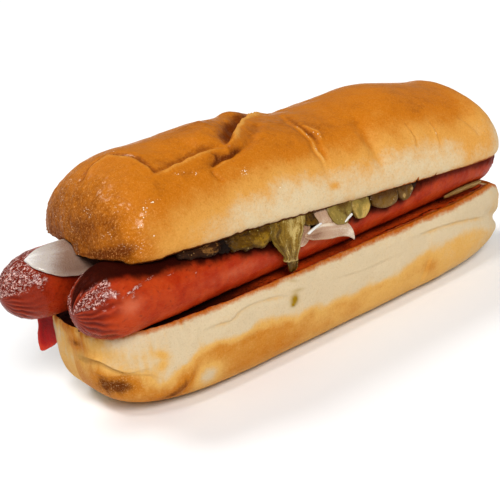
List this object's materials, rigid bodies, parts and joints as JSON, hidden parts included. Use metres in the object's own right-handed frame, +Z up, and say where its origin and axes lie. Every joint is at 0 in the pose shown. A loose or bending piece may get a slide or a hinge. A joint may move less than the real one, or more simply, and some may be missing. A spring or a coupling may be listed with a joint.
{
  "type": "hot dog",
  "caption": "Long soft roll cut lengthwise, holding frankfurters side by side with pickle, onion and a strip of red pepper showing at the cut.",
  "frame": {"origin": "middle of the bottom of the bounding box, on the surface the roll lies on", "axes": "+X along the roll, towards the end where the sausages end inside it; -Y to the front, where the filling shows; +Z up"},
  "size_m": [0.212, 0.0654, 0.081],
  "materials": {
    "crust": "baked brown crust, softly glossy",
    "crumb": "pale soft bread with a toasted edge",
    "sausage": "glossy red-brown casing",
    "onion": "moist white",
    "relish": "wet, nearly black",
    "pickle": "wet olive",
    "pickle_pale": "wet pale yellow-green",
    "pepper": "glossy red skin"
  },
  "bodies": {
    "root": {"bun_crown": "crust", "bun_heel": "crumb", "sausage_front": "sausage", "sausage_rear": "sausage", "onion_slice": "onion", "relish_dark": "relish", "pickle_left": "pickle", "pickle_middle": "pickle", "pickle_drape": "pickle", "pickle_dark": "pickle", "onion_upper": "onion", "onion_boat": "onion", "onion_small": "onion", "pickle_green": "pickle_pale", "pickle_cream": "pickle_pale", "pickle_brown": "pickle", "pickle_end": "pickle", "pickle_strip": "pickle_pale", "pepper_strip": "pepper"}
  },
  "joints": []
}
